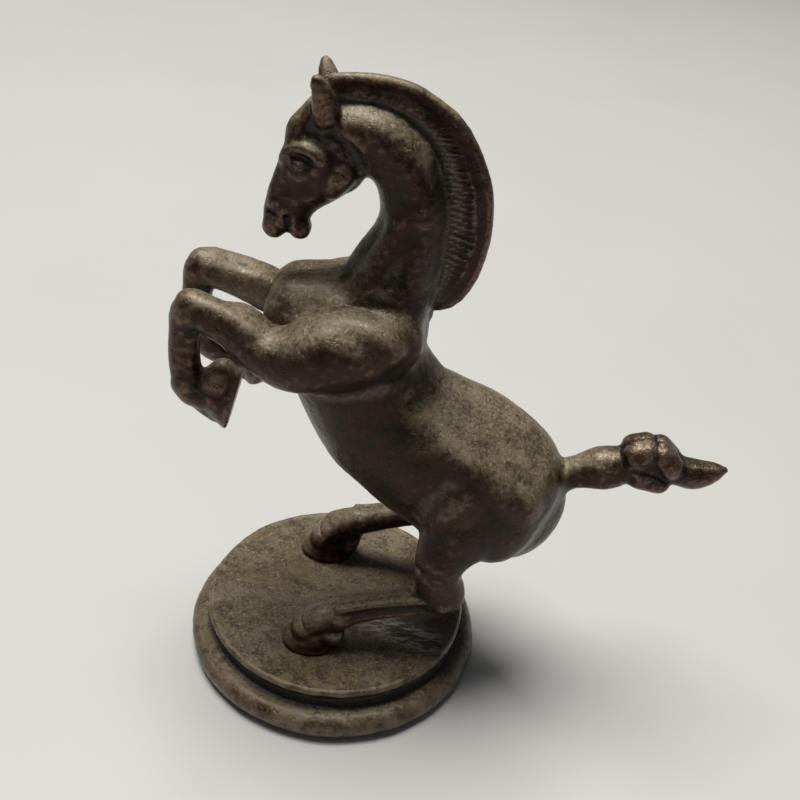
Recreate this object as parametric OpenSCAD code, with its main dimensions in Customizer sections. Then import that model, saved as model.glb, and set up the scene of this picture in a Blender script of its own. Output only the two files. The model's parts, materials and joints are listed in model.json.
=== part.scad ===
// Rearing horse figurine in cast bronze on a round stepped plinth.
// Units mm, +Z up. Origin: centre of the plinth's foot face.
// The horse faces -X and its left side faces -Y.

/* [Plinth] */
// Diameter across the foot of the plinth
foot_d = 72; // [68:1:84]
// Diameter across the top disc
top_d = 64; // [62:1:66]
// Height of the top face the hooves stand on
plinth_h = 12.4; // [12.4:0.1:16]
// Depth of the two nut recesses in the foot face
recess_h = 4.6; // [4.4:0.2:6]

/* [Casting] */
// Facets round a body section
ring_n = 28; // [20:4:28]
// Rings between two sections
ring_steps = 3; // [2:1:3]
// Gap left round a tenon for the brazing
braze_gap = 0.15; // [0.1:0.05:0.3]
// Diameter of the tenons on the legs
tenon_d = 4; // [3:0.5:5]
// Length of a tenon
tenon_len = 6; // [4:0.5:8]

/* [Fixings] */
// Diameter of the stud cast into a hoof
stud_d = 3; // [2.5:0.5:3.5]
// Width across the flats of a nut
nut_af = 5.5; // [5:0.5:6.5]
// Thickness of a nut
nut_h = 2.4; // [2:0.2:3]
// Thickness of a washer
washer_t = 0.6; // [0.5:0.1:1]

/* [Hidden] */
bronze = [0.23, 0.18, 0.13];
dusty = [0.36, 0.31, 0.20];
steel = [0.45, 0.42, 0.38];
foot_r = foot_d / 2;
top_r = top_d / 2;
lip_r = 0.9;
torus_r = 3.4;
cove_w = 2.2;
cove_z = 6.8;
cove_r = top_r - 2;
hoof_x = -4.4;
hoof_y = 16.2;
hoof_len = 14;
hoof_w = 10.8;
stud_hole_d = stud_d + 0.4;
recess_d = 11;
stud_in_hoof = 3;
washer_d = stud_d * 2.2;
nut_z = recess_h - washer_t - nut_h;
stud_z = nut_z - 0.6;
hull_fn = 16;
dome_steps = 4;

// ---- lofting: a section is [x, y, z, half width, reach to the front, reach to the back] ----
function curve(a, b, c, d, t) =
    0.5 * (2 * b + (c - a) * t + (2 * a - 5 * b + 4 * c - d) * t * t + (3 * b - a - 3 * c + d) * t * t * t);
function dense(s) = [
    for (i = [0 : len(s) - 2], j = [0 : ring_steps - 1])
        curve(s[max(i - 1, 0)], s[i], s[i + 1], s[min(i + 2, len(s) - 1)], j / ring_steps),
    s[len(s) - 1]
];
function at(s, i) = [s[i][0], s[i][1], s[i][2]];
function unit(v) = v / norm(v);
function heading(s, i) = unit(at(s, min(i + 1, len(s) - 1)) - at(s, max(i - 1, 0)));
function across(t) = unit([0, 1, 0] - t[1] * t);
function bulge(v, e) = sign(v) * pow(abs(v), e);
function section(p, t, w, front, back, e) = [
    for (k = [0 : ring_n - 1])
        let (a = 360 * k / ring_n, c = bulge(cos(a), e), s = bulge(sin(a), e))
        p + w * c * across(t) + (s > 0 ? front : back) * s * cross(across(t), t)
];
function cap_rings(s, i, sense, depth, e) = depth == 0 ? [] : [
    for (k = [1 : dome_steps])
        let (a = 84 * k / dome_steps, t = heading(s, i))
        section(at(s, i) + sense * depth * sin(a) * t, t, s[i][3] * cos(a), s[i][4] * cos(a), s[i][5] * cos(a), e)
];
function backwards(v) = [for (i = [len(v) - 1 : -1 : 0]) v[i]];

// Skin through dense sections; start and finish are the depths of the domed ends, e squares the section
module skin(s, start = 0, finish = 0, e = 1) {
    rings = concat(
        backwards(cap_rings(s, 0, -1, start, e)),
        [for (i = [0 : len(s) - 1]) section(at(s, i), heading(s, i), s[i][3], s[i][4], s[i][5], e)],
        cap_rings(s, len(s) - 1, 1, finish, e)
    );
    m = len(rings);
    polyhedron(
        points = [for (r = rings) for (p = r) p],
        faces = concat(
            [for (i = [0 : m - 2], k = [0 : ring_n - 1])
                let (q = (k + 1) % ring_n)
                [i * ring_n + k, i * ring_n + q, (i + 1) * ring_n + q]],
            [for (i = [0 : m - 2], k = [0 : ring_n - 1])
                let (q = (k + 1) % ring_n)
                [i * ring_n + k, (i + 1) * ring_n + q, (i + 1) * ring_n + k]],
            [[for (k = [ring_n - 1 : -1 : 0]) k]],
            [[for (k = [0 : ring_n - 1]) (m - 1) * ring_n + k]]
        )
    );
}

// Rounded lump between two balls
module lump(a, ra, b, rb) {
    hull() {
        translate(a) sphere(r = ra, $fn = hull_fn);
        translate(b) sphere(r = rb, $fn = hull_fn);
    }
}

// Round tenon from a joint section back into the body
module tenon(s, i, d, length) {
    t = heading(s, i);
    translate(at(s, i) - length * t)
        rotate([0, acos(t[2]), atan2(t[1], t[0])])
            cylinder(d = d, h = length + 1, $fn = 24);
}

// ---- sections of the left limbs; the right ones are mirrored ----
arm = dense([
    [8.8, -8.5, 94.5, 5, 6, 6],
    [3.5, -11.6, 92.6, 6.5, 7.5, 8],
    [-5, -13.5, 90.5, 7, 8.3, 8.6],
    [-12, -13.2, 88.3, 6.4, 6.8, 7.2],
    [-18.5, -12, 89, 5.1, 4.9, 5.3],
    [-26, -10.5, 92.8, 4.3, 4.6, 4.2],
    [-33, -9.5, 95.2, 4.1, 4, 4]
]);
arm_joint = 4 * ring_steps;
shin = dense([
    [-34.2, -9.5, 94.6, 3.8, 3.8, 3.8],
    [-35.2, -9.5, 88.5, 3.2, 3.3, 3.3],
    [-35.3, -9.5, 82, 3.2, 3.2, 3.3],
    [-34, -9.5, 76.8, 3.6, 3.5, 3.8],
    [-30.5, -9.5, 75.6, 4, 4, 4.4]
]);
thigh = dense([
    [32, -9, 56, 9, 11, 10],
    [27.6, -12, 50, 7.4, 9.6, 9],
    [24.4, -14.4, 44.6, 5.8, 7, 6.8],
    [23.2, -16, 40, 5, 5.6, 5.6],
    [23.8, -16, 35, 4.6, 5.4, 5.2],
    [25, -16, 31, 4.3, 5, 4.6]
]);
thigh_joint = 3 * ring_steps;
hind_shin = dense([
    [26, -16, 31.6, 4, 4, 3.6],
    [18, -16, 28.8, 3, 3.3, 3.2],
    [9, -16, 25.6, 2.9, 3.2, 3.2],
    [2, -16, 22.6, 3.6, 3.6, 3.9],
    [-3.4, -16.2, 18.4, 4.2, 4.2, 4]
]);
dock = dense([
    [46, 0, 57.4, 3.6, 3.8, 3.6],
    [49, 0, 58.6, 3.4, 3.5, 3.4],
    [52.5, 0, 59.9, 3.7, 3.9, 3.8],
    [57, 0, 61.4, 4.8, 5.2, 5],
    [61.5, 0, 63, 4.3, 4.5, 4.4],
    [67, 0, 64.2, 3.8, 3.8, 3.8],
    [73, 0, 63.4, 3.4, 3.4, 3.4],
    [78, 0, 62.8, 3.2, 3.7, 3.5],
    [82, 0, 63.9, 2.3, 2.5, 2.3],
    [84.4, 0, 65, 0.9, 0.9, 0.9]
]);
dock_joint = ring_steps;

function part_of(s, a, b) = [for (i = [a : b]) s[i]];

// ---- the castings ----
module trunk() {
    skin(dense([
        [42.6, 0, 43, 9, 11.2, 8.4],
        [39.2, 0, 45.2, 14, 15.6, 12.2],
        [34.2, 0, 49.8, 17.4, 19, 15.4],
        [29, 0, 54.8, 18.4, 19.4, 17.4],
        [23.5, 0, 60, 18, 18.4, 18.6],
        [16.5, 0, 65.3, 16.3, 16.1, 19.4],
        [10, 0, 70, 14.6, 14.4, 18.8],
        [4.8, 0, 76, 14, 14.2, 17.4],
        [0, 0, 83, 14.2, 14.8, 15.6],
        [-4.5, 0, 90, 13.4, 15, 13.2],
        [-9, 0, 95.2, 10.6, 12, 9.8]
    ]), 5, 5.5);
}

module neck() {
    skin(dense([
        [2.5, 0, 87.8, 11, 12, 12],
        [4, 0, 97, 10.4, 10.4, 11.2],
        [6.4, 0, 105.5, 8.8, 9, 9.4],
        [8.4, 0, 113, 7.8, 7.8, 7.6],
        [8.6, 0, 120, 7.2, 7.2, 7.2],
        [5.4, 0, 127.3, 6.7, 6.8, 7],
        [-0.5, 0, 131.6, 6.2, 6.3, 7.4],
        [-6, 0, 132.3, 5.4, 5.4, 7]
    ]), 4, 3);
}

module head() {
    skin(dense([
        [-3, 0, 131.8, 5.4, 6, 6],
        [-9, 0, 127, 6.2, 8.2, 8.4],
        [-12.2, 0, 122.5, 5.8, 7.1, 7],
        [-14.9, 0, 118.4, 4.5, 5.5, 5.3],
        [-16.4, 0, 115, 3.8, 5, 4.6],
        [-17.2, 0, 112.4, 3.7, 4.5, 4.4]
    ]), 2, 1);
    lump([-10, 0, 135.2], 4, [-13.4, 0, 130.4], 4.4);
    lump([-18.9, -1.2, 111.6], 2.6, [-18.9, 1.2, 111.6], 2.6);
    lump([-13.9, -0.8, 111.3], 2.3, [-13.9, 0.8, 111.3], 2.3);
    for (side = [-1, 1]) {
        lump([-6.5, side * 3.5, 125], 3.4, [-8, side * 3, 122], 2.8);
        lump([-15.6, side * 3.8, 126.4], 1.6, [-10.6, side * 4.9, 125.6], 1.7);
        ear(side);
    }
}

module ear(side) {
    hull() {
        translate([-9.8, side * 3.6, 135.4]) sphere(r = 2.6, $fn = hull_fn);
        translate([-10.4, side * 4.7, 138.8]) sphere(r = 2.3, $fn = hull_fn);
        translate([-11.4, side * 6.3, 142.3]) sphere(r = 1.1, $fn = hull_fn);
    }
}

module mane() {
    skin(dense([
        [12.6, 0, 97.8, 2, 2, 3],
        [15, 0, 101.9, 2.3, 5.6, 3],
        [16.3, 0, 108, 2.3, 6.4, 3],
        [17, 0, 115, 2.3, 6.6, 3],
        [15.6, 0, 123, 2.2, 6.8, 3],
        [11.6, 0, 130.4, 2, 6.8, 3],
        [5, 0, 136, 1.9, 5.8, 3],
        [-2.5, 0, 138.2, 1.8, 4.4, 3],
        [-9, 0, 137.5, 1.5, 4.4, 3]
    ]), 2, 1, 0.8);
}

module shoulder_and_hip() {
    lump([-13, -3, 95.4], 6.8, [-6, -3, 96.2], 7);
    skin(part_of(arm, 0, arm_joint), 3.5, 0);
    skin(part_of(thigh, 0, thigh_joint), 5, 0);
}

module horse_body() {
    color(bronze) difference() {
        union() {
            trunk();
            neck();
            head();
            mane();
            shoulder_and_hip();
            mirror([0, 1, 0]) shoulder_and_hip();
            skin(part_of(dock, 0, dock_joint), 4, 0);
        }
        sockets();
        mirror([0, 1, 0]) sockets();
        tenon(dock, dock_joint, tenon_d + 2 * braze_gap, tenon_len + braze_gap);
    }
}

module sockets() {
    tenon(arm, arm_joint, tenon_d + 2 * braze_gap, tenon_len + braze_gap);
    tenon(thigh, thigh_joint, tenon_d + 2 * braze_gap, tenon_len + braze_gap);
}

module foreleg() {
    last = len(arm) - 1;
    skin(part_of(arm, arm_joint, last), 0, 3.4);
    tenon(arm, arm_joint, tenon_d, tenon_len);
    skin(shin, 3, 1.5, 0.9);
    lump([-33.9, -9.5, 96], 3.4, [-35, -9.5, 93], 3.4);
    lump([-31.2, -9.5, 94.2], 2.6, [-33.6, -9.5, 91.6], 2.4);
    lump([-35, -9.5, 77.5], 3.5, [-33.6, -9.5, 75.6], 3.5);
    lump([-32.4, -9.5, 80], 1.6, [-31.4, -9.5, 78.6], 1.6);
    lump([-27.6, -11.3, 79.6], 3.2, [-29.6, -11, 78.6], 2.6);
    lump([-27.6, -7.7, 79.6], 3.2, [-29.6, -8, 78.6], 2.6);
    lump([-31.6, -9.5, 73.6], 2.8, [-28.6, -9.5, 70.6], 2.2);
    translate([-24.7, -9.5, 74.3]) rotate([0, -77, 0]) hoof(6.4);
}

// Hoof standing on its sole at the origin, toe toward -X
module hoof(height) {
    hull() {
        scale([hoof_len / hoof_w, 1, 1]) cylinder(d = hoof_w, h = 0.8, $fn = 28);
        translate([1.2, 0, height - 1.6]) scale([1.1, 1, 1]) cylinder(d1 = hoof_w * 0.86, d2 = hoof_w * 0.74, h = 1.6, $fn = 28);
    }
}

module hind_leg() {
    last = len(thigh) - 1;
    skin(part_of(thigh, thigh_joint, last), 0, 2.6);
    tenon(thigh, thigh_joint, tenon_d, tenon_len);
    skin(hind_shin, 2, 1, 0.85);
    lump([26.6, -16, 33], 3.8, [27, -16, 30.4], 3.2);
    lump([28.4, -16, 31.4], 2.2, [28, -16, 36], 1.8);
    lump([24, -16, 33], 4, [21, -16, 30.4], 3);
    lump([2.6, -16, 23.2], 3.6, [0.6, -16, 21.6], 3.7);
    lump([3.4, -16, 20.4], 1.8, [2.2, -16, 18.8], 1.6);
    lump([1, -18, 16.6], 2.6, [-0.6, -18, 17.4], 2.6);
    lump([1, -14.4, 16.6], 2.6, [-0.6, -14.4, 17.4], 2.6);
    translate([hoof_x, -hoof_y, plinth_h]) hoof(6.4);
}

module stud_shape(d, top) {
    translate([hoof_x, -hoof_y, 0]) cylinder(d = d, h = top, $fn = 32);
}

module plinth() {
    color(dusty) difference() {
        rotate_extrude($fn = 160) polygon(concat(
            [[0, 0], [foot_r - 1.8, 0]],
            [for (a = [-60 : 15 : 90]) [foot_r - torus_r + torus_r * cos(a), torus_r + torus_r * sin(a)]],
            [for (a = [0 : 15 : 90]) [cove_r + cove_w * (1 - sin(a)), cove_z + cove_w * (1 - cos(a))]],
            [for (a = [-75 : 25 : 75]) [top_r - lip_r + lip_r * cos(a), plinth_h - lip_r + lip_r * sin(a)]],
            [[0, plinth_h]]
        ));
        for (side = [-1, 1]) translate([hoof_x, side * hoof_y, -1]) {
            cylinder(d = stud_hole_d, h = plinth_h + 2, $fn = 32);
            cylinder(d = recess_d, h = recess_h + 1, $fn = 48);
        }
    }
}

module foreleg_left() {
    color(bronze) foreleg();
}

module foreleg_right() {
    color(bronze) mirror([0, 1, 0]) foreleg();
}

module hind_leg_left() {
    color(bronze) difference() {
        hind_leg();
        stud_shape(stud_d, plinth_h + stud_in_hoof + 0.2);
    }
}

module hind_leg_right() {
    color(bronze) mirror([0, 1, 0]) difference() {
        hind_leg();
        stud_shape(stud_d, plinth_h + stud_in_hoof + 0.2);
    }
}

module tail() {
    color(bronze) union() {
        skin(part_of(dock, dock_joint, len(dock) - 1), 0, 0.8);
        tenon(dock, dock_joint, tenon_d, tenon_len);
        for (side = [-1, 1]) {
            lump([63.3, side * 1.8, 67.4], 2.7, [66, side * 1.8, 68.2], 2.8);
            lump([69.2, side * 2, 68], 2.8, [71.6, side * 2, 65.6], 3);
            lump([65.4, side * 2.2, 61.8], 2.8, [70, side * 2, 61], 2.8);
            lump([63.6, side * 2.6, 65.2], 2.3, [65.8, side * 3, 62.8], 2.4);
        }
    }
}

module stud_left() {
    color(steel) translate([hoof_x, -hoof_y, stud_z]) cylinder(d = stud_d, h = plinth_h + stud_in_hoof - stud_z, $fn = 32);
}

module stud_right() {
    mirror([0, 1, 0]) stud_left();
}

module washer_left() {
    color(steel) translate([hoof_x, -hoof_y, recess_h - washer_t]) difference() {
        cylinder(d = washer_d, h = washer_t, $fn = 40);
        translate([0, 0, -1]) cylinder(d = stud_hole_d, h = washer_t + 2, $fn = 32);
    }
}

module washer_right() {
    mirror([0, 1, 0]) washer_left();
}

module nut_left() {
    color(steel) translate([hoof_x, -hoof_y, nut_z]) difference() {
        cylinder(d = nut_af / cos(30), h = nut_h, $fn = 6);
        translate([0, 0, -1]) cylinder(d = stud_d, h = nut_h + 2, $fn = 32);
    }
}

module nut_right() {
    mirror([0, 1, 0]) nut_left();
}

plinth();
horse_body();
foreleg_left();
foreleg_right();
hind_leg_left();
hind_leg_right();
tail();
stud_left();
stud_right();
washer_left();
washer_right();
nut_left();
nut_right();
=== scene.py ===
# %% [markdown]
# # A rearing horse in patinated bronze
# The CAD model gives the true size of every casting. Here the plain CAD castings
# become a worked bronze: the masses are blended, the muscles, face, mane and hooves
# are modelled, and the metal gets its brown patina, its dust and its wear.
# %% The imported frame
import json
import math

import bmesh
import bpy
import numpy as np
from mathutils import Matrix, Vector, noise

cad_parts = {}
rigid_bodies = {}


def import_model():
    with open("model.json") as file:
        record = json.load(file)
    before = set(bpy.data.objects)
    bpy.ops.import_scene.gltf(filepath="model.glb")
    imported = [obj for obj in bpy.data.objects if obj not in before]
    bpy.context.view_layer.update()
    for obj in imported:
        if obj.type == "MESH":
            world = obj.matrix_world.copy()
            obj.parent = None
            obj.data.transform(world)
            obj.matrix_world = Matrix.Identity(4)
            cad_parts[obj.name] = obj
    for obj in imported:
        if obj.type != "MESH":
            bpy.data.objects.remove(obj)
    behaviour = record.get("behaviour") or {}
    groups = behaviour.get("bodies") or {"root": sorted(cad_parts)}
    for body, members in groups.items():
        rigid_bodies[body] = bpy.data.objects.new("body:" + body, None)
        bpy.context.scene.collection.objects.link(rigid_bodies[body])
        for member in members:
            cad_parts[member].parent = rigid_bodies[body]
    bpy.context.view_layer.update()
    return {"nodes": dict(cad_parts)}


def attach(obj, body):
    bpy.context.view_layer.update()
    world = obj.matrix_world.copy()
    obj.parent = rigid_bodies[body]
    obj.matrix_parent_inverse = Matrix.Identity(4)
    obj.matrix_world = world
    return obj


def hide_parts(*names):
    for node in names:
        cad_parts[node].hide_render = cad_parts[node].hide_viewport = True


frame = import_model()
MM = 0.001
print("castings:", sorted(frame["nodes"]))

# %% [markdown]
# ## The viewpoint
# A small bronze is usually looked at from above, standing at a table. The camera is
# close, so the perspective is strong: the head is about a quarter nearer than the plinth.
# It is placed by its own three directions, with a slight roll of the hand-held view.
# %% Camera
PITCH = math.radians(33.34)
ROLL = math.radians(6.94)
EYE = Vector((10.0, -184.2, 194.3)) * MM

ahead = Vector((0, math.cos(PITCH), -math.sin(PITCH)))
level_up = Vector((0, math.sin(PITCH), math.cos(PITCH)))
right = math.cos(ROLL) * Vector((1, 0, 0)) + math.sin(ROLL) * level_up
up = right.cross(ahead)
turn = Matrix((right, up, -ahead)).transposed().to_4x4()
cam_data = bpy.data.cameras.new("view")
cam_data.sensor_width = 36
cam_data.lens = 45
cam_data.clip_start = 0.005
cam = bpy.data.objects.new("view", cam_data)
bpy.context.scene.collection.objects.link(cam)
cam.matrix_world = Matrix.Translation(EYE) @ turn
bpy.context.scene.camera = cam
print("camera", [round(v, 4) for v in cam.location])

# %% [markdown]
# ## Light and table
# The light is a big soft ceiling light, a little behind and to the left, so that
# every surface that looks up is bright and every side that looks at us is dark.
# The table is plain, pale and matt.
# %% Colour and material helpers
def srgb(code):
    """Hex colour to linear values."""
    parts = [int(code[i:i + 2], 16) / 255 for i in (1, 3, 5)]
    return [v / 12.92 if v <= 0.04045 else ((v + 0.055) / 1.055) ** 2.4 for v in parts] + [1]


def new_material(name):
    mat = bpy.data.materials.new(name)
    mat.use_nodes = True
    mat.node_tree.nodes.clear()
    return mat


def add(mat, kind, *values, **settings):
    """Adds one node: values fill its open sockets in order, names are its own choices or its sockets."""
    node = mat.node_tree.nodes.new("ShaderNode" + kind)
    sockets = []
    for key, value in settings.items():
        if hasattr(node, key):
            setattr(node, key, value)
        else:
            sockets.append((node.inputs[key.replace("_", " ")], value))
    sockets += zip([s for s in node.inputs if s.enabled], values)
    for socket, value in sockets:
        if isinstance(value, bpy.types.Node):
            value = next(s for s in value.outputs if s.enabled)
        if isinstance(value, bpy.types.NodeSocket):
            mat.node_tree.links.new(value, socket)
        else:
            socket.default_value = value
    return node


def clear_selection():
    if bpy.context.object and bpy.context.object.mode != "OBJECT":
        bpy.ops.object.mode_set(mode="OBJECT")
    bpy.ops.object.select_all(action="DESELECT")


def work_on(obj):
    clear_selection()
    obj.select_set(True)
    bpy.context.view_layer.objects.active = obj


# %% Table and lamps
table_mat = new_material("pale_matt_laminate")
tex = add(table_mat, "TexCoord")
cloud = add(table_mat, "TexNoise", Vector=tex.outputs["Object"], Scale=9.0, Detail=3.0)
tone = add(table_mat, "Mix", cloud, srgb("#cfcecb"), srgb("#d6d5d2"), data_type="RGBA")
laminate = add(table_mat, "BsdfPrincipled", Base_Color=tone, Roughness=0.55)
add(table_mat, "OutputMaterial", laminate)

clear_selection()
bpy.ops.mesh.primitive_plane_add(size=6, location=(0, 0, 0))
table = bpy.context.object
table.name = "table_top"
table.data.materials.append(table_mat)

world = bpy.data.worlds.new("room")
bpy.context.scene.world = world
world.use_nodes = True
world.node_tree.nodes["Background"].inputs[0].default_value = srgb("#dfe3ea")
world.node_tree.nodes["Background"].inputs[1].default_value = 0.1


def soft_lamp(name, place, aim, size, power, tint):
    data = bpy.data.lights.new(name, "AREA")
    data.shape = "RECTANGLE"
    data.size, data.size_y = size
    data.energy = power
    data.color = srgb(tint)[:3]
    lamp = bpy.data.objects.new(name, data)
    bpy.context.scene.collection.objects.link(lamp)
    lamp.location = place
    lamp.rotation_euler = (Vector(aim) - Vector(place)).to_track_quat("-Z", "Y").to_euler()


soft_lamp("ceiling_panel", (-0.24, 0.28, 1.85), (0.0, 0.0, 0.05), (1.1, 1.1), 41, "#fffdf8")
bpy.context.scene.view_settings.view_transform = "Standard"
print("lamps and table ready")

# %% [markdown]
# ## Clay that can be worked
# On the real bronze the castings were joined and then chased by hand, so the metal
# flows over the joints. The CAD castings are copied, joined and remeshed into one even
# skin of small squares. That skin is the clay: its points are held as one table of
# numbers, so that a stroke of the modelling tool is one line of code. It is cut apart
# at the joints afterwards, and each casting is its own piece again.
# %% A working copy of some castings
def copy_castings(names, label):
    """One new object with the CAD meshes of these castings, their doubles merged."""
    copies = []
    for name in names:
        copy = bpy.data.objects.new(label, frame["nodes"][name].data.copy())
        bpy.context.scene.collection.objects.link(copy)
        copy.data.materials.clear()
        work_on(copy)
        bpy.ops.object.mode_set(mode="EDIT")
        bpy.ops.mesh.select_all(action="SELECT")
        bpy.ops.mesh.remove_doubles(threshold=1e-7)
        bpy.ops.object.mode_set(mode="OBJECT")
        copies.append(copy)
    clear_selection()
    for copy in copies:
        copy.select_set(True)
    bpy.context.view_layer.objects.active = copies[0]
    if len(copies) > 1:
        bpy.ops.object.join()
    return bpy.context.view_layer.objects.active


def even_skin(obj, square):
    """Remeshes into squares of this size (mm) and keeps the outermost skin."""
    remesh = obj.modifiers.new("even squares", "REMESH")
    remesh.mode = "VOXEL"
    remesh.voxel_size = square * MM
    remesh.adaptivity = 0
    work_on(obj)
    bpy.ops.object.modifier_apply(modifier=remesh.name)
    xs = np.array([v.co.x for v in obj.data.vertices])
    bpy.ops.object.mode_set(mode="EDIT")
    bpy.ops.mesh.select_all(action="DESELECT")
    bpy.ops.object.mode_set(mode="OBJECT")
    obj.data.vertices[int(xs.argmax())].select = True
    bpy.ops.object.mode_set(mode="EDIT")
    bpy.ops.mesh.select_linked()
    bpy.ops.mesh.select_all(action="INVERT")
    bpy.ops.mesh.delete(type="VERT")
    bpy.ops.object.mode_set(mode="OBJECT")
    print(obj.name, "skin:", len(obj.data.polygons), "squares")


# %% The modelling tools
def soft(t):
    return t * t * (3 - 2 * t)


def points(line):
    return np.array(line, float).reshape(-1, 3)


def mirrored(line):
    """The drawn line, and its mirror image on the other flank if it isn't on the middle."""
    pts = points(line)
    return [pts] if np.abs(pts[:, 1]).max() < 0.01 else [pts, pts * (1, -1, 1)]


class Clay:
    """A skin of squares: p is its points in millimetres, e its edges, q its squares, out its outward ways."""

    def __init__(self, obj):
        self.obj = obj
        mesh = obj.data
        self.n = len(mesh.vertices)
        flat = np.empty(self.n * 3)
        mesh.vertices.foreach_get("co", flat)
        self.p = flat.reshape(-1, 3) / MM
        pairs = np.empty(len(mesh.edges) * 2, dtype=np.int64)
        mesh.edges.foreach_get("vertices", pairs)
        self.e = pairs.reshape(-1, 2)
        self.q = np.array([list(f.vertices) for f in mesh.polygons if len(f.vertices) == 4])
        self.links = np.maximum(np.bincount(self.e.ravel(), minlength=self.n), 1)[:, None]
        self.turn()

    def averaged(self, values):
        """The mean of each point's neighbours."""
        out = np.empty_like(values)
        a, b = self.e.T
        for k in range(values.shape[1]):
            out[:, k] = np.bincount(a, values[b, k], self.n) + np.bincount(b, values[a, k], self.n)
        return out / self.links

    def turn(self):
        """Finds the outward directions again after a change of shape."""
        p, q = self.p, self.q
        n = np.cross(p[q[:, 2]] - p[q[:, 0]], p[q[:, 3]] - p[q[:, 1]])
        out = np.zeros_like(p)
        for k in range(3):
            for c in range(4):
                out[:, k] += np.bincount(q[:, c], n[:, k], self.n)
        self.out = out / np.maximum(np.linalg.norm(out, axis=1, keepdims=True), 1e-12)

    def relax(self, rounds, weight=1.0, keep=0.0):
        """Smooths by a weight for each point; keep near 1 gives back what smoothing shrinks."""
        w = np.broadcast_to(np.asarray(weight, float), (self.n,))[:, None] * 0.5
        for _ in range(rounds):
            self.p += w * (self.averaged(self.p) - self.p)
            if keep:
                self.p -= keep * w * (self.averaged(self.p) - self.p)
        self.turn()

    def near(self, line, radius):
        """1 on a drawn line, falling to 0 at the radius."""
        pts = points(line)
        inside = ((self.p > pts.min(0) - radius) & (self.p < pts.max(0) + radius)).all(1)
        at = np.where(inside)[0]
        q = self.p[at]
        d = np.linalg.norm(q - pts[0], axis=1)
        for a, b in zip(pts[:-1], pts[1:]):
            t = np.clip(((q - a) @ (b - a)) / ((b - a) @ (b - a)), 0, 1)
            d = np.minimum(d, np.linalg.norm(q - a - t[:, None] * (b - a), axis=1))
        out = np.zeros(self.n)
        out[at] = np.clip(1 - d / radius, 0, 1)
        return out

    def press(self, line, radius, height):
        """Raises, or with a negative height hollows, along a line, on both flanks."""
        for pts in mirrored(line):
            self.p += self.out * (height * soft(self.near(pts, radius)))[:, None]

    def pull(self, line, radius, move):
        """Moves a region bodily; the move is mirrored with the place."""
        for pts, flip in zip(mirrored(line), (1, -1)):
            self.p += soft(self.near(pts, radius))[:, None] * (np.array(move) * (1, flip, 1))

    def smear(self, line, radius, rounds):
        """Smooths along a line, on both flanks."""
        weight = sum(soft(self.near(pts, radius)) for pts in mirrored(line))
        self.relax(rounds, np.minimum(weight, 1))

    def uneven(self, size, height, weight=1.0):
        """The unevenness of a sand casting: soft lumps of this size, up and down by this height, in mm."""
        lumps = np.array([noise.noise(Vector(v) / size) for v in self.p])
        self.p += self.out * (lumps * height * weight)[:, None]
        self.turn()

    def write(self):
        self.obj.data.vertices.foreach_set("co", (self.p * MM).ravel())
        self.obj.data.update()


# %% [markdown]
# ## Blending the masses
# Wax is smoothed with the thumb where a limb meets the trunk. Broad forms take long
# smoothing, which also takes the CAD facets away; thin forms (ears, mane edge, shins)
# take little, because smoothing thins them.
# %% Broad and thin forms
CASTINGS = ["horse_body", "foreleg_left", "foreleg_right", "hind_leg_left", "hind_leg_right", "tail"]
horse = copy_castings(CASTINGS, "horse_clay")
even_skin(horse, 0.47)
clay = Clay(horse)

SPINE = [(44, 0, 42), (34, 0, 50), (24, 0, 60), (14, 0, 67), (5, 0, 76), (-1, 0, 86), (4, 0, 97),
         (7, 0, 107),
         (8.6, 0, 117)]
MANE_EDGE = [(-9, 0, 141.5), (1, 0, 142.2), (7, 0, 140.7), (12.7, 0, 137.2), (17, 0, 132.8),
             (20.4, 0, 127),
             (22.7, 0, 120.3), (23.3, 0, 113.2), (22.4, 0, 107), (20.2, 0, 102), (17.6, 0, 98.2),
             (14.5, 0, 95.6)]
broad = np.clip(clay.near(SPINE, 30) * 2.2, 0, 1)
thin = np.maximum(clay.near([(-9, 0, 130), (-18, 0, 112)], 13), clay.near(MANE_EDGE, 7))
broad *= 1 - np.clip(thin * 3, 0, 1)
clay.relax(5, 0.5, 0.9)
clay.relax(70, broad, 0.97)
clay.relax(14, 1 - np.clip(thin * 3, 0, 1), 0.95)
print("broad forms:", round(float((broad > 0.5).mean()), 2), "of the skin")

# %% The right foreleg is folded a little further
# The forelegs are not quite alike: the right knee reaches forward and its hoof is tucked back.
ahead_of_joint = np.clip((-17 - clay.p[:, 0]) / 12, 0, 1) * (clay.p[:, 1] > 2) * (clay.p[:, 2] > 60)
clay.p[:, 0] -= 1.9 * soft(ahead_of_joint)
tucked = soft(clay.near([(-31, 9.5, 76), (-25, 9.5, 73)], 11)) * (clay.p[:, 1] > 2)
clay.p += tucked[:, None] * (9, 0, -1.5)
clay.turn()
print("right knee at x", round(float(clay.p[clay.p[:, 1] > 4][:, 0].min()), 1))

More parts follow.
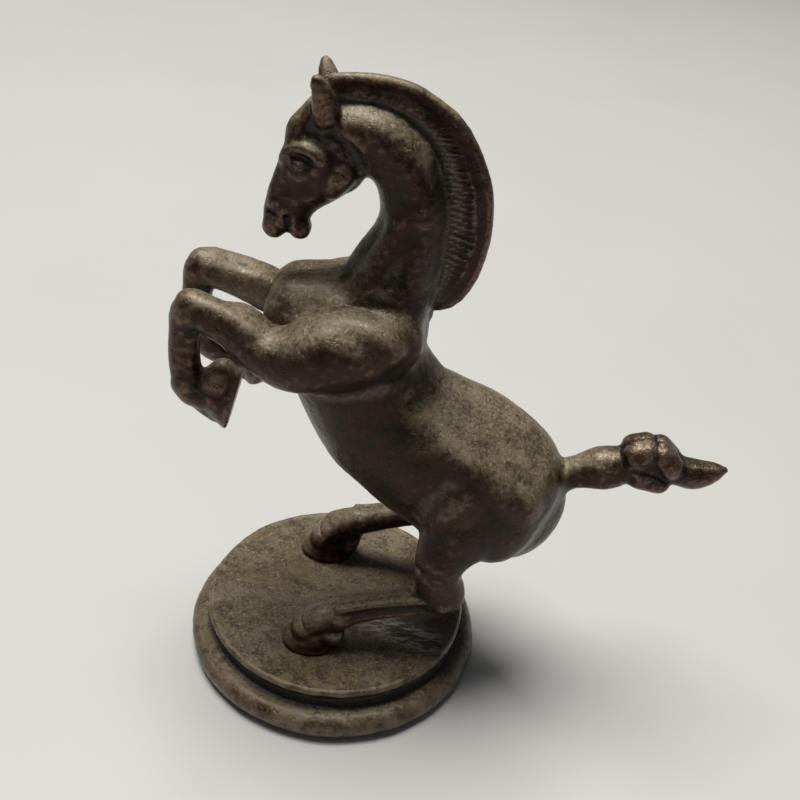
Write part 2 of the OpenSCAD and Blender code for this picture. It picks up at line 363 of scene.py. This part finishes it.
# %% [markdown]
# ## Muscles of the trunk
# The horse is stylised: a few clear planes with soft edges between them. Each edge is a
# wide raised line, and the hollow beside it is a wide sunken one. Lines are drawn on the
# left flank and mirrored to the right, and each group is smoothed once after it is drawn,
# so that no stroke shows as a stroke.
# %% Thumbed joins
ARM_EDGE = [(11.4, -11, 98), (11.4, -13.4, 93), (9, -15.6, 88.6), (3, -18, 86.2), (-3, -19, 84.6),
            (-9, -17.5, 83),
            (-13, -14, 81.6)]
clay.smear(ARM_EDGE, 5.5, 40)
clay.smear([(-14, -6, 92), (-15.5, -8, 87), (-14, -9, 82)], 5, 25)
clay.smear([(23.4, -16, 44), (23.4, -16, 38), (24, -16, 34), (25.4, -16, 31)], 9, 45)
clay.smear([(36, -8, 43), (30, -12, 45), (27, -14, 50)], 6, 25)
for _ in range(3):
    clay.press([(47, 0, 52), (45, 0, 46), (41, 0, 40), (37, 0, 36)], 9, 1.3)
    clay.smear([(46, 0, 51), (44, 0, 45), (40, 0, 40), (36, 0, 36)], 12, 40)
clay.press([(38, -14, 48), (35, -14, 43)], 9, 0.8)
clay.press([(-14, -7.6, 92.5), (-18, -7.4, 93), (-23, -7.6, 94.6)], 5.5, 1.7)
clay.smear([(-14, -8, 92.5), (-18, -8, 93), (-23, -8, 94.6)], 6, 10)
print("joins thumbed")

# %% Neck and shoulder
clay.press([(-5, -5, 133.6), (1, -6.2, 133), (5.4, -6.4, 130.6), (8.6, -6.6, 126.3), (10, -6.8, 121),
            (10.4, -7.4, 114),
            (10, -8, 107)], 5, 0.55)
clay.press([(12, -3.6, 127), (13.4, -4, 119), (13.6, -4.2, 111), (12.6, -5, 104)], 3, -0.35)
clay.press([(5.6, -7, 117), (4.2, -6.8, 112), (1.2, -7.4, 106.4), (-2.4, -8, 99)], 4.6, 0.75)
clay.press([(2.6, -4.4, 115), (-0.6, -4.2, 109), (-4, -3.8, 103.5)], 3.8, -0.45)
clay.press([(8, -7.4, 115), (6, -8.2, 109.5), (3.6, -9.4, 103), (2, -11, 99)], 4.6, -0.6)
clay.press([(-5, -10, 100), (-1, -11.6, 101), (4, -12.8, 100.4), (9.6, -12.2, 98)], 5, -0.25)
clay.turn()
clay.press([(-12.5, -10, 94.2), (-9.5, -11.4, 96.4), (-5, -12.4, 97.6), (0, -14, 98),
            (5, -15.4, 96.5), (8, -15.2, 94)], 4, 1.15)
clay.press([(-9, -15, 94.4), (-3, -17.4, 93.6), (3, -17.4, 92)], 5, 0.35)
clay.press([(11.4, -12, 97), (11, -13.6, 93), (9.4, -15, 89.6), (4.5, -17.2, 86.6), (-1, -18, 84.4),
            (-6, -17, 82.6)], 4.4, -0.3)
clay.press([(-14.5, -8.4, 92), (-15.6, -8.2, 88)], 3, -0.6)
clay.turn()
NECK_FOOT = [(-5, -9.5, 99), (1, -9.5, 100), (7, -9, 102)]
SHOULDER_BACK = [(11.5, -7.5, 99), (12, -8, 94), (12, -9.5, 90), (9.5, -12, 86)]
for _ in range(2):
    clay.press(NECK_FOOT, 4.5, 0.6)
    clay.press(SHOULDER_BACK, 5, 0.5)
    clay.smear(NECK_FOOT + SHOULDER_BACK[:1], 5, 14)
    clay.smear([(12, -8, 94), (10.5, -11, 88), (4, -15, 85), (-4, -16, 83)], 5, 14)
    clay.turn()
clay.relax(16, broad, 0.6)
print("neck and shoulder modelled")

# %% Back, belly and croup
clay.press([(12.6, -11.6, 80.4), (14, -12.8, 76.7), (17, -13.8, 73.8)], 5, -0.7)
clay.press([(14.7, -13.2, 76), (19.3, -13.9, 72.6), (25.5, -15, 69), (33.7, -15.9, 62.8),
            (40, -14, 58.8)], 5.5, 1.15)
clay.press([(19, -6.5, 78), (25, -7.5, 75.4), (32, -8.5, 70.5), (38, -7.5, 65.5)], 7, -0.55)
clay.press([(27, -17.8, 61.5), (23.4, -18, 57.3), (20.6, -16.6, 52.6)], 4, 0.7)
clay.press([(22.4, -17, 62.5), (18.8, -16, 58.5), (16.6, -15, 54)], 4.4, -0.8)
clay.press([(17, 0, 81.5), (22, 0, 81), (28, 0, 78), (33, 0, 73)], 5, 0.5)
clay.press([(43, -3.2, 62.4), (45.2, -3.4, 59.2), (44.6, -3.4, 55.2)], 2.4, -0.5)
RUMP = [(48, 0, 42), (46, 0, 34), (41, 0, 27)]
clay.press(RUMP, 7.5, 0.4)
clay.turn()
clay.relax(16, broad, 0.6)
clay.relax(70, np.clip(clay.near(RUMP, 16) * 2, 0, 1))
print("trunk modelled")

# %% [markdown]
# ## The head
# The head is a wedge with a strong brow, a deep eye, a round cheek plate with a groove
# behind it, and open lips. Small strokes of 1 to 2 mm are enough at this size: the real
# wax was touched with a modelling point, not cut.
# %% Brow, eye and cheek
face = np.clip(clay.near([(-9, 0, 131), (-19, 0, 112)], 12) * 2, 0, 1)
clay.relax(16, face * 0.8, 0.8)
clay.press([(-12.4, -5.6, 127), (-14.4, -5, 127), (-15.8, -4, 126.2)], 2.2, -0.75)
clay.turn()
clay.press([(-17.2, -2.8, 126), (-16.8, -3.2, 127.8), (-15.6, -4.1, 128.9), (-13.7, -5, 129.3),
            (-11.7, -5.7, 128.8),
            (-10, -6, 127.8)], 1.9, 1.0)
clay.press([(-14.2, -5.2, 125.6)], 1.8, 0.3)
clay.press([(-15.7, -4.5, 124.1), (-14.2, -5.2, 123.7), (-12.4, -5.7, 124.2)], 1.2, 0.14)
clay.press([(-12.6, -5.4, 121.2), (-15.4, -4.2, 120.4)], 2.6, -0.35)
clay.press([(-8.4, -5.8, 125), (-7.6, -5.6, 123.4)], 4.4, 0.45)
clay.turn()
clay.press([(-8.4, -5.2, 132.4), (-5.9, -5.4, 131), (-4, -5.2, 129.3), (-2.7, -4.6, 127)], 2.2, -0.8)
clay.press([(-12.4, -4.6, 132.2), (-10.6, -4.8, 131.2)], 2.4, -0.45)
clay.press([(-17, -1.8, 129), (-18.4, -1.5, 124.5), (-20, -1.3, 119)], 2, 0.35)
clay.turn()
clay.relax(5, face * 0.7, 0.5)
print("brow, eye and cheek modelled")

# %% Muzzle and lips
clay.press([(-19.6, -2.4, 116.6), (-18.2, -3.2, 117)], 1.3, 0.35)
clay.press([(-19.8, -2.6, 115), (-18.6, -3.2, 114.8)], 1.1, -0.5)
clay.press([(-15.9, -3, 111.4), (-15.9, -3.5, 113), (-16.2, -3.8, 114.4)], 1.2, -0.6)
clay.press([(-19, -3.2, 112.6), (-17.6, -3.6, 114.2), (-16.8, -3.9, 116)], 1.5, 0.35)
clay.turn()
print("muzzle modelled")

# %% Ears
# The ears open forwards and outwards: a shallow trough with two rims.
clay.press([(-10.2, -4.8, 137.4), (-10.9, -5.8, 140.4)], 3.4, 0.55)
clay.turn()
clay.press([(-12.6, -4.2, 136.4), (-12.9, -5.2, 138.6), (-12.7, -5.9, 140)], 1.5, -0.8)
clay.pull([(-11.4, -6.5, 143.2)], 2.2, (-0.1, -0.1, 0.2))
clay.turn()
clay.press([(-12, -7, 137), (-12.2, -7.4, 139.4)], 1, 0.2)
print("ears hollowed")

# %% [markdown]
# ## The mane
# The mane is a hogged one: a stiff thick plate that stands on the crest of the neck. It
# has a step where it leaves the neck, a bevelled outer edge, and short cuts across it,
# clearest down the back. The cuts were made with the edge of a tool, about one each
# 1.35 mm.
# %% Step and bevel
LEDGE = [(-8.2, 0, 138.6), (-1.2, 0, 138.2), (3.5, 0, 137.4), (7.4, 0, 135.4), (11, 0, 131.4),
         (13.9, 0, 125.3),
         (15.1, 0, 118.6), (15.5, 0, 111.2), (14.4, 0, 104.7), (12.2, 0, 101.6)]


def smooth_line(corners, steps):
    """A smooth curve of evenly counted points through the corners."""
    pts = points(corners)
    pts = np.vstack([2 * pts[0] - pts[1], pts, 2 * pts[-1] - pts[-2]])
    out = []
    for a, b, c, d in zip(pts, pts[1:], pts[2:], pts[3:]):
        for t in np.arange(steps) / steps:
            square = (2 * a - 5 * b + 4 * c - d) * t * t
            cube = (3 * b - a - 3 * c + d) * t ** 3
            out.append(0.5 * (2 * b + (c - a) * t + square + cube))
    return np.array(out + [pts[-2]])


ledge = smooth_line(LEDGE, 4)
crest = smooth_line(MANE_EDGE, 4)
opposite = crest[np.linspace(0, len(crest) - 1, len(ledge)).round().astype(int)]
clay.smear(ledge + (0, -2.6, 0), 2.2, 8)
clay.press(ledge + (0, -2.4, 0), 1.1, -0.12)
clay.turn()
clay.press(ledge + 0.3 * (opposite - ledge) + (0, -2.2, 0), 2, 0.3)
clay.press(ledge + 0.88 * (opposite - ledge) + (0, -2.0, 0), 1.8, -0.2)
clay.press(crest + (0, -0.1, 0), 2.6, 0.28)
print("mane ledge", len(ledge), "points")

# %% The cuts
travel = np.concatenate([[0], np.cumsum(np.linalg.norm(np.diff(crest, axis=0), axis=1))])
base_share = np.linspace(0, 1, len(ledge))
depth = np.zeros(clay.n)
rng = np.random.default_rng(7)
SPACING = 1.35
CUT_DEPTH = 0.34
for k in range(int(travel[-1] / SPACING)):
    s = (k + 0.5 + rng.uniform(-0.12, 0.12)) * SPACING
    t = s / travel[-1]
    top = np.array([np.interp(s, travel, crest[:, i]) for i in range(3)])
    foot = np.array([np.interp(t, base_share, ledge[:, i]) for i in range(3)])
    strength = np.interp(t, [0, 0.1, 0.3, 0.42, 0.75, 0.9], [0.35, 0.3, 0.3, 1, 0.85, 0.2])
    length = rng.uniform(0.5, 0.66)
    for side in (-1, 1):
        a = foot + 0.02 * (top - foot) + (0, side * 2.6, 0)
        b = foot + length * (top - foot) + (0, side * 2.2, 0)
        depth = np.maximum(depth, strength * np.clip(clay.near([a, b], 1.0) * 1.6 - 0.5, 0, 1))
clay.p -= clay.out * (CUT_DEPTH * soft(np.clip(depth, 0, 1)))[:, None]
clay.turn()
print("cuts in the mane, deepest", round(float(depth.max()) * CUT_DEPTH, 2), "mm")

# %% [markdown]
# ## Legs, hooves and the knotted tail
# The legs are cast solid and kept simple: a ridge on the forearm, a clear knee, a squared
# shin, a fetlock and a hoof with its coronet. The tail is tied in a knot of three lobes.
# %% Forelegs
clay.press([(-33.5, -11.4, 98), (-27, -12.4, 96.4), (-20.5, -13.6, 94.3)], 3, 0.6)
clay.press([(-30, -8.6, 98.6), (-23, -9.4, 96.2), (-18, -9.6, 94)], 3, -0.5)
clay.press([(-34.4, -12.8, 95)], 3.2, 0.35)
clay.press([(-33, -12.4, 91)], 2.4, -0.35)
clay.press([(-34.6, -12.4, 78)], 3, 0.3)
clay.turn()
print("forelegs modelled")

# %% Hind legs
clay.press([(21, -18.6, 32), (10, -18.4, 28.6), (1.6, -18.6, 25.6)], 1.5, 0.85)
clay.press([(21, -19.4, 29.4), (10, -19, 26.4), (3, -19.4, 24)], 2.0, -0.25)
clay.press([(18, -18.6, 26.6), (9, -18.4, 23.4), (3, -18.6, 20.8)], 2.2, 0.2)
clay.press([(1.8, -19.2, 22.4)], 3, 0.4)
clay.press([(25.6, -20.2, 31)], 3, 0.4)
PASTERN = [(-3.4, -17.5, 21.6), (-6.4, -18, 18.6), (-6.6, -14, 18.6)]
for _ in range(2):
    clay.press(PASTERN, 4, 0.8)
    clay.smear(PASTERN, 4.5, 14)
clay.pull([(1, -16, 21.6)], 7, (1.2, 0, 0))
raised = soft(clay.near([(1, 16, 21)], 8)) * (clay.p[:, 1] > 2)
clay.p += raised[:, None] * (1.5, 0, 3)
clay.turn()
print("hind legs modelled")

# %% Tail and knot
clay.press([(53, -3.4, 58), (57, -4.6, 58.6), (61, -4, 60.4)], 2.2, 0.4)
clay.press([(66, -4.6, 64.6)], 1.8, -0.7)
clay.press([(66.6, -4.6, 66.6), (67.4, -4.4, 68.6)], 1.3, -0.45)
clay.press([(63.4, -4.6, 64.8), (66, -4.8, 64.4), (69, -4.8, 63.6), (71.4, -4.4, 62.4)], 1.2, -0.45)
clay.press([(61.6, -4.2, 67), (64, -5, 66.6), (66, -4.8, 67.2)], 1.1, 0.35)
clay.turn()
clay.press([(75, -2, 66.4), (79, -2, 66), (83, -1, 66)], 1.4, 0.3)
clay.press([(63.4, 0, 70), (66.2, 0, 70.8)], 2.2, 0.7)
clay.press([(69, 0, 70.4), (72, 0, 68.6)], 2.2, 0.7)
clay.relax(3, 0.5, 0.8)
print("tail modelled")

# %% The unevenness of the casting
clay.uneven(7, 0.22, np.clip(clay.near(SPINE, 34) * 3, 0.3, 1))
clay.uneven(1.6, 0.07)
print("cast skin roughened")

# %% [markdown]
# ## Wear, dust and the cut at the joints
# Hands polish what stands out and dust stays in what lies back, so the finish follows the
# form. How far each point stands out from its surroundings is measured at two sizes and
# kept on the mesh as a colour attribute, for the materials to read.
# %% How far each point stands out
def stand_out(skin):
    """Three values for each point: small ridges and creases, broad forms, and a wide average of both."""
    layers = []
    for rounds, reach_mm in ((6, 0.10), (110, 0.9)):
        q = skin.p.copy()
        for _ in range(rounds):
            q += 0.5 * (skin.averaged(q) - q)
        height = ((skin.p - q) * skin.out).sum(1)
        layers.append(np.clip(0.5 + 0.5 * height / reach_mm, 0, 1))
    both = (layers[0] * 0.2 + layers[1] * 0.8)[:, None]
    for _ in range(14):
        both += 0.6 * (skin.averaged(both) - both)
    values = np.stack([layers[0], layers[1], both[:, 0], np.ones(skin.n)], 1)
    layer = skin.obj.data.color_attributes.new("form", "FLOAT_COLOR", "POINT")
    layer.data.foreach_set("color", values.ravel().astype(np.float32))
    return values


values = stand_out(clay)
clay.write()
print("form", values[:, :3].mean(0).round(3))

# %% Cut apart at the joints
# For each joint: the place of the cut, its direction, and how far round the place it reaches, in mm.
# The legs' cuts are given for the left side.
JOINTS = {
    "foreleg": ((-22.6, -11, 91.2), (-1, 0.1, 0.22), 8.8),
    "hind_leg": ((23.2, -16, 40), (-0.6, -1.6, -9.6), 11),
    "tail": ((49, 0, 58.6), (6.5, 0, 2.5), 8),
}


def cut(obj, place, direction, size):
    """Cuts the skin with a plane near one joint and closes both ends."""
    place, direction = Vector(place) * MM, Vector(direction).normalized()
    bm = bmesh.new()
    bm.from_mesh(obj.data)
    faces = [f for f in bm.faces if (f.calc_center_median() - place).length < size * MM]
    geom = list({v for f in faces for v in f.verts}) + list({e for f in faces for e in f.edges}) + faces
    made = bmesh.ops.bisect_plane(bm, geom=geom, plane_co=place, plane_no=direction, dist=1e-7)
    ring = [g for g in made["geom_cut"] if isinstance(g, bmesh.types.BMEdge)]
    bmesh.ops.split_edges(bm, edges=ring)
    rims = [e for e in bm.edges if e.is_boundary]
    bmesh.ops.holes_fill(bm, edges=rims, sides=0)
    bm.to_mesh(obj.data)
    bm.free()
    return len(ring)


for kind, (place, direction, size) in JOINTS.items():
    for side in ((1, -1) if place[1] else (1,)):
        flip = Vector((1, side, 1))
        ring = cut(horse, Vector(place) * flip, Vector(direction) * flip, size)
        print(kind, "cut with", ring, "edges")

# %% Separate and name the castings
clear_selection()
work_on(horse)
bpy.ops.object.mode_set(mode="EDIT")
bpy.ops.mesh.select_all(action="SELECT")
bpy.ops.mesh.separate(type="LOOSE")
bpy.ops.object.mode_set(mode="OBJECT")
castings = {}
loose = list(bpy.context.selected_objects)
biggest = max(loose, key=lambda obj: len(obj.data.vertices))
for obj in loose:
    middle = np.array([v.co for v in obj.data.vertices]).mean(0) / MM
    if obj is biggest:
        name = "horse_body"
    elif middle[0] > 50:
        name = "tail"
    else:
        name = ("foreleg_" if middle[0] < -20 else "hind_leg_") + ("left" if middle[1] < 0 else "right")
    print(name, len(obj.data.polygons), middle.round(1))
    obj.name = "cast_" + name
    obj.data.name = obj.name
    castings[name] = obj
assert sorted(castings) == sorted(CASTINGS), "a joint wasn't cut right through"

# %% [markdown]
# ## Patinated bronze
# The metal was cast in sand, so it has a fine grain and small pits. A brown patina was
# put on with heat and wax, which gives a half gloss. Years of handling have rubbed the
# ridges to a warmer, brighter brown, and grey-ochre dust has settled on what looks up;
# its pale colour there is partly painted highlight.
# %% Bronze of the castings
def patinated_bronze():
    mat = new_material("sand_cast_bronze_brown_patina")
    coords = add(mat, "TexCoord").outputs["Object"]
    small, broad, height = add(mat, "SeparateColor", add(mat, "Attribute", attribute_name="form")).outputs
    upward = add(mat, "SeparateXYZ", add(mat, "NewGeometry").outputs["Normal"]).outputs[2]
    along = add(mat, "SeparateXYZ", coords)
    clouds = add(mat, "TexNoise", Vector=coords, Scale=1000 / 12, Detail=4, Roughness=0.55)
    patches = add(mat, "TexNoise", Vector=coords, Scale=1000 / 4.2, Detail=5, Roughness=0.6, Distortion=0.3)
    specks = add(mat, "TexNoise", Vector=coords, Scale=1000 / 0.9, Detail=4, Roughness=0.7)

    # brown, redder in patches and where a broad form swells and is handled
    drier = add(mat, "MapRange", clouds, 0.38, 0.62)
    tone = add(mat, "Mix", drier, srgb("#211913"), srgb("#2a2018"), data_type="RGBA")
    redder = add(mat, "MapRange", patches, 0.48, 0.66, To_Max=0.8)
    tone = add(mat, "Mix", redder, tone, srgb("#392015"), data_type="RGBA")
    handled = add(mat, "MapRange", broad, 0.55, 0.85, To_Max=0.55)
    tone = add(mat, "Mix", handled, tone, srgb("#42271b"), data_type="RGBA")

    # dust settles on what looks up, in what lies back and between chest and forearms, in
    # broken films; the tail is handled and keeps cleaner. On what looks up the pale dust
    # is also painted highlight.
    drift = add(mat, "Math", clouds, 0.5, upward, operation="MULTIPLY_ADD")
    drift = add(mat, "Math", patches, 0.3, drift, operation="MULTIPLY_ADD")
    looks_up = add(mat, "MapRange", drift, 0.55, 1.2, To_Max=0.88, interpolation_type="SMOOTHSTEP")
    lies_back = add(mat, "MapRange", height, 0.5, 0.32, To_Max=0.45)
    settled = add(mat, "Math", looks_up, lies_back, operation="MAXIMUM")
    hollow = add(mat, "Mapping", vector_type="TEXTURE", Vector=coords, Location=(-0.017, 0.004, 0.095),
                 Scale=(0.02, 0.015, 0.011))
    hollow = add(mat, "VectorMath", hollow, operation="LENGTH")
    hollow = add(mat, "MapRange", hollow, 1.1, 0.6, To_Max=0.7, interpolation_type="SMOOTHSTEP")
    settled = add(mat, "Math", settled, hollow, operation="MAXIMUM")
    film = add(mat, "Math", patches, 0.7, specks, operation="MULTIPLY_ADD")
    film = add(mat, "MapRange", film, 0.62, 1.02, 0.4, 0.9, interpolation_type="SMOOTHSTEP")
    dust = add(mat, "Math", settled, film, operation="MULTIPLY")
    kept_clean = add(mat, "MapRange", along.outputs[0], 0.053, 0.059, 1.0, 0.3)
    dust = add(mat, "Math", dust, kept_clean, operation="MULTIPLY")
    # the dust colour is paler than the dust alone, so on upward surfaces it is partly dust and partly painted
    # highlight
    dust_hue = add(mat, "MapRange", clouds, 0.35, 0.65)
    dust_tone = add(mat, "Mix", dust_hue, srgb("#8a7a5c"), srgb("#9c8d72"), data_type="RGBA")
    tone = add(mat, "Mix", dust, tone, dust_tone, data_type="RGBA")
    grains = add(mat, "TexNoise", Vector=coords, Scale=1000 / 0.8, Detail=4, Roughness=0.8)
    grains = add(mat, "MapRange", grains, 0.54, 0.64, To_Max=0.7)
    grains = add(mat, "Math", grains, settled, operation="MULTIPLY")
    tone = add(mat, "Mix", grains, tone, srgb("#b8ab94"), data_type="RGBA")

    # creases stay dark and small ridges are rubbed bright
    crease = add(mat, "MapRange", small, 0.44, 0.22, To_Max=0.8, interpolation_type="SMOOTHSTEP")
    tone = add(mat, "Mix", crease, tone, srgb("#120e0b"), data_type="RGBA")
    ridge = add(mat, "MapRange", small, 0.58, 0.82, To_Max=0.5, interpolation_type="SMOOTHSTEP")
    worn = add(mat, "MapRange", specks, 0.35, 0.6)
    rubbed = add(mat, "Math", ridge, worn, operation="MULTIPLY")
    tone = add(mat, "Mix", rubbed, tone, srgb("#8a7563"), data_type="RGBA")

    gloss = add(mat, "Math", specks, 0.22, 0.24, operation="MULTIPLY_ADD")
    gloss = add(mat, "Math", dust, 0.3, gloss, operation="MULTIPLY_ADD")
    pits = add(mat, "TexNoise", Vector=coords, Scale=1000 / 1.3, Detail=2, Roughness=0.5)
    pits = add(mat, "MapRange", pits, 0.6, 0.7, To_Max=-0.5)
    grain = add(mat, "Math", specks, 0.7, pits, operation="MULTIPLY_ADD")
    bump = add(mat, "Bump", Strength=0.5, Distance=0.0004, Height=grain)
    bare = add(mat, "MapRange", dust, 0.0, 0.8, 0.82, 0.0)
    bronze = add(mat, "BsdfPrincipled", Base_Color=tone, Roughness=gloss, Metallic=bare, Normal=bump,
                 Coat_Weight=0.14, Coat_Roughness=0.26)
    add(mat, "OutputMaterial", bronze)
    return mat


bronze = patinated_bronze()
for name, obj in castings.items():
    obj.data.materials.clear()
    obj.data.materials.append(bronze)
    work_on(obj)
    bpy.ops.object.shade_smooth_by_angle(angle=math.radians(62))
    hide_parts(name)
    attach(obj, "root")
print("castings finished:", sorted(castings))

# %% [markdown]
# ## The plinth
# The plinth is one turned and cast disc: a flat top with a worn rim, a hollow moulding
# and a round foot. It gets the same treatment as the horse: an even skin, a little
# unevenness from the casting, and its own dustier patina.
# %% Skin of the plinth
plinth = copy_castings(["plinth"], "cast_plinth")
even_skin(plinth, 0.5)
base = Clay(plinth)
base.relax(2, 0.5)
across = np.hypot(base.p[:, 0], base.p[:, 1])
TOP_R = 32
top = soft(np.clip((base.p[:, 2] - (base.p[:, 2].max() - 0.5)) / 0.4, 0, 1))
rim = soft(np.clip(1 - np.abs(across - (TOP_R - 0.8)) / 0.8, 0, 1)) * top
base.p[:, 2] += 0.28 * rim - 0.25 * top * soft(np.clip((TOP_R - 1 - across) / 6, 0, 1))
base.turn()
free = (base.p[:, 2] > 0.6).astype(float)
base.uneven(9, 0.22, free)
base.uneven(1.8, 0.1, free)
stand_out(base)
base.write()
plinth.data.materials.clear()
print("plinth", base.p.min(0).round(2), base.p.max(0).round(2))


# %% Dusty bronze of the plinth
def dusty_bronze():
    mat = new_material("sand_cast_bronze_dusty_patina")
    coords = add(mat, "TexCoord").outputs["Object"]
    broad = add(mat, "SeparateColor", add(mat, "Attribute", attribute_name="form")).outputs[1]
    upward = add(mat, "SeparateXYZ", add(mat, "NewGeometry").outputs["Normal"]).outputs[2]
    clouds = add(mat, "TexNoise", Vector=coords, Scale=1000 / 14, Detail=4, Roughness=0.55)
    patches = add(mat, "TexNoise", Vector=coords, Scale=1000 / 4, Detail=6, Roughness=0.65, Distortion=0.4)
    specks = add(mat, "TexNoise", Vector=coords, Scale=1000 / 0.8, Detail=4, Roughness=0.75)

    # brown under a film of dust that is thickest on the flat top
    drier = add(mat, "MapRange", clouds, 0.38, 0.62)
    tone = add(mat, "Mix", drier, srgb("#332a1e"), srgb("#3f3527"), data_type="RGBA")
    looks_up = add(mat, "MapRange", upward, 0.3, 0.9, interpolation_type="SMOOTHSTEP")
    film = add(mat, "Math", specks, 0.6, operation="MULTIPLY")
    film = add(mat, "Math", patches, 0.5, film, operation="MULTIPLY_ADD")
    film = add(mat, "MapRange", film, 0.45, 0.63, 0.25, 0.95, interpolation_type="SMOOTHSTEP")
    dust = add(mat, "Math", looks_up, film, operation="MULTIPLY")
    on_top = add(mat, "MapRange", add(mat, "SeparateXYZ", coords).outputs[2], 0.009, 0.0115, 0.7, 1.0)
    dust = add(mat, "Math", dust, on_top, operation="MULTIPLY")
    dust_hue = add(mat, "MapRange", clouds, 0.4, 0.6)
    dust_tone = add(mat, "Mix", dust_hue, srgb("#6b5a38"), srgb("#7d705a"), data_type="RGBA")
    tone = add(mat, "Mix", dust, tone, dust_tone, data_type="RGBA")

    # ochre earth in spots, and silvery scratches where the foot was scraped near the left hock
    earth = add(mat, "TexNoise", Vector=coords, Scale=1000 / 1.6, Detail=6, Roughness=0.8)
    earth = add(mat, "MapRange", earth, 0.56, 0.64, To_Max=0.75)
    earth = add(mat, "Math", earth, looks_up, operation="MULTIPLY")
    tone = add(mat, "Mix", earth, tone, srgb("#a08a58"), data_type="RGBA")
    patch = add(mat, "Mapping", vector_type="TEXTURE", Vector=coords, Location=(0.018, -0.0105, 0.0124),
                Rotation=(0, 0, -0.35), Scale=(0.014, 0.005, 0.006))
    away = add(mat, "VectorMath", patch, operation="LENGTH")
    inside = add(mat, "MapRange", away, 1.1, 0.5, To_Max=0.95)
    stretched = add(mat, "Mapping", Vector=coords, Rotation=(0, 0, 0.35), Scale=(0.45, 1.6, 1.0))
    scratches = add(mat, "TexNoise", Vector=stretched, Scale=1000 / 2.2, Detail=6, Roughness=0.7)
    scratches = add(mat, "MapRange", scratches, 0.47, 0.55)
    scraped = add(mat, "Math", inside, scratches, operation="MULTIPLY")
    tone = add(mat, "Mix", scraped, tone, srgb("#cfc7ba"), data_type="RGBA")

    # the hollows of the moulding are painted dark as painted shade under the lip, and its edges are rubbed
    # bright
    crease = add(mat, "MapRange", broad, 0.47, 0.3, To_Max=0.7, interpolation_type="SMOOTHSTEP")
    tone = add(mat, "Mix", crease, tone, srgb("#17120d"), data_type="RGBA")
    edge = add(mat, "MapRange", broad, 0.64, 0.86, To_Max=0.7, interpolation_type="SMOOTHSTEP")
    worn = add(mat, "MapRange", patches, 0.38, 0.6)
    rubbed = add(mat, "Math", edge, worn, operation="MULTIPLY")
    tone = add(mat, "Mix", rubbed, tone, srgb("#8c7a66"), data_type="RGBA")

    pits = add(mat, "TexNoise", Vector=coords, Scale=1000 / 1.5, Detail=2, Roughness=0.5)
    pits = add(mat, "MapRange", pits, 0.6, 0.7, To_Max=-0.6)
    grain = add(mat, "Math", specks, 0.7, pits, operation="MULTIPLY_ADD")
    bump = add(mat, "Bump", Strength=0.6, Distance=0.00045, Height=grain)
    gloss = add(mat, "Math", dust, 0.3, 0.33, operation="MULTIPLY_ADD")
    bare = add(mat, "MapRange", dust, 0.0, 1.0, 0.5, 0.0)
    bronze = add(mat, "BsdfPrincipled", Base_Color=tone, Roughness=gloss, Metallic=bare, Normal=bump,
                 Coat_Weight=0.2, Coat_Roughness=0.3)
    add(mat, "OutputMaterial", bronze)
    return mat


plinth.data.materials.append(dusty_bronze())
work_on(plinth)
bpy.ops.object.shade_smooth_by_angle(angle=math.radians(62))
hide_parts("plinth")
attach(plinth, "root")
print("plinth finished")


# %% [markdown]
# ## Studs, washers and nuts
# Two threaded studs hold the hind hooves. They are turned mild steel, seen only from
# below, with fine turning marks and a little rust. The CAD shapes are right, so they only
# take a material.
# %% Steel of the fixings
def turned_steel():
    mat = new_material("turned_mild_steel")
    coords = add(mat, "TexCoord").outputs["Object"]
    rust = add(mat, "TexNoise", Vector=coords, Scale=1000 / 1.5, Detail=5, Roughness=0.6)
    rust = add(mat, "MapRange", rust, 0.5, 0.7)
    tone = add(mat, "Mix", rust, srgb("#8d8b86"), srgb("#6a4630"), data_type="RGBA")
    marks = add(mat, "TexWave", wave_type="BANDS", bands_direction="Z", Vector=coords, Scale=900.0,
                Distortion=1.0)
    bump = add(mat, "Bump", Strength=0.2, Distance=0.00005, Height=marks.outputs["Fac"])
    gloss = add(mat, "Math", rust, 0.4, 0.3, operation="MULTIPLY_ADD")
    metal = add(mat, "BsdfPrincipled", Base_Color=tone, Roughness=gloss, Metallic=0.9, Normal=bump)
    add(mat, "OutputMaterial", metal)
    return mat


steel = turned_steel()
for name in ("stud_left", "stud_right", "washer_left", "washer_right", "nut_left", "nut_right"):
    node = frame["nodes"][name]
    for k in range(len(node.material_slots)):
        node.material_slots[k].material = steel
    if not node.material_slots:
        node.data.materials.append(steel)
print("fixings finished")
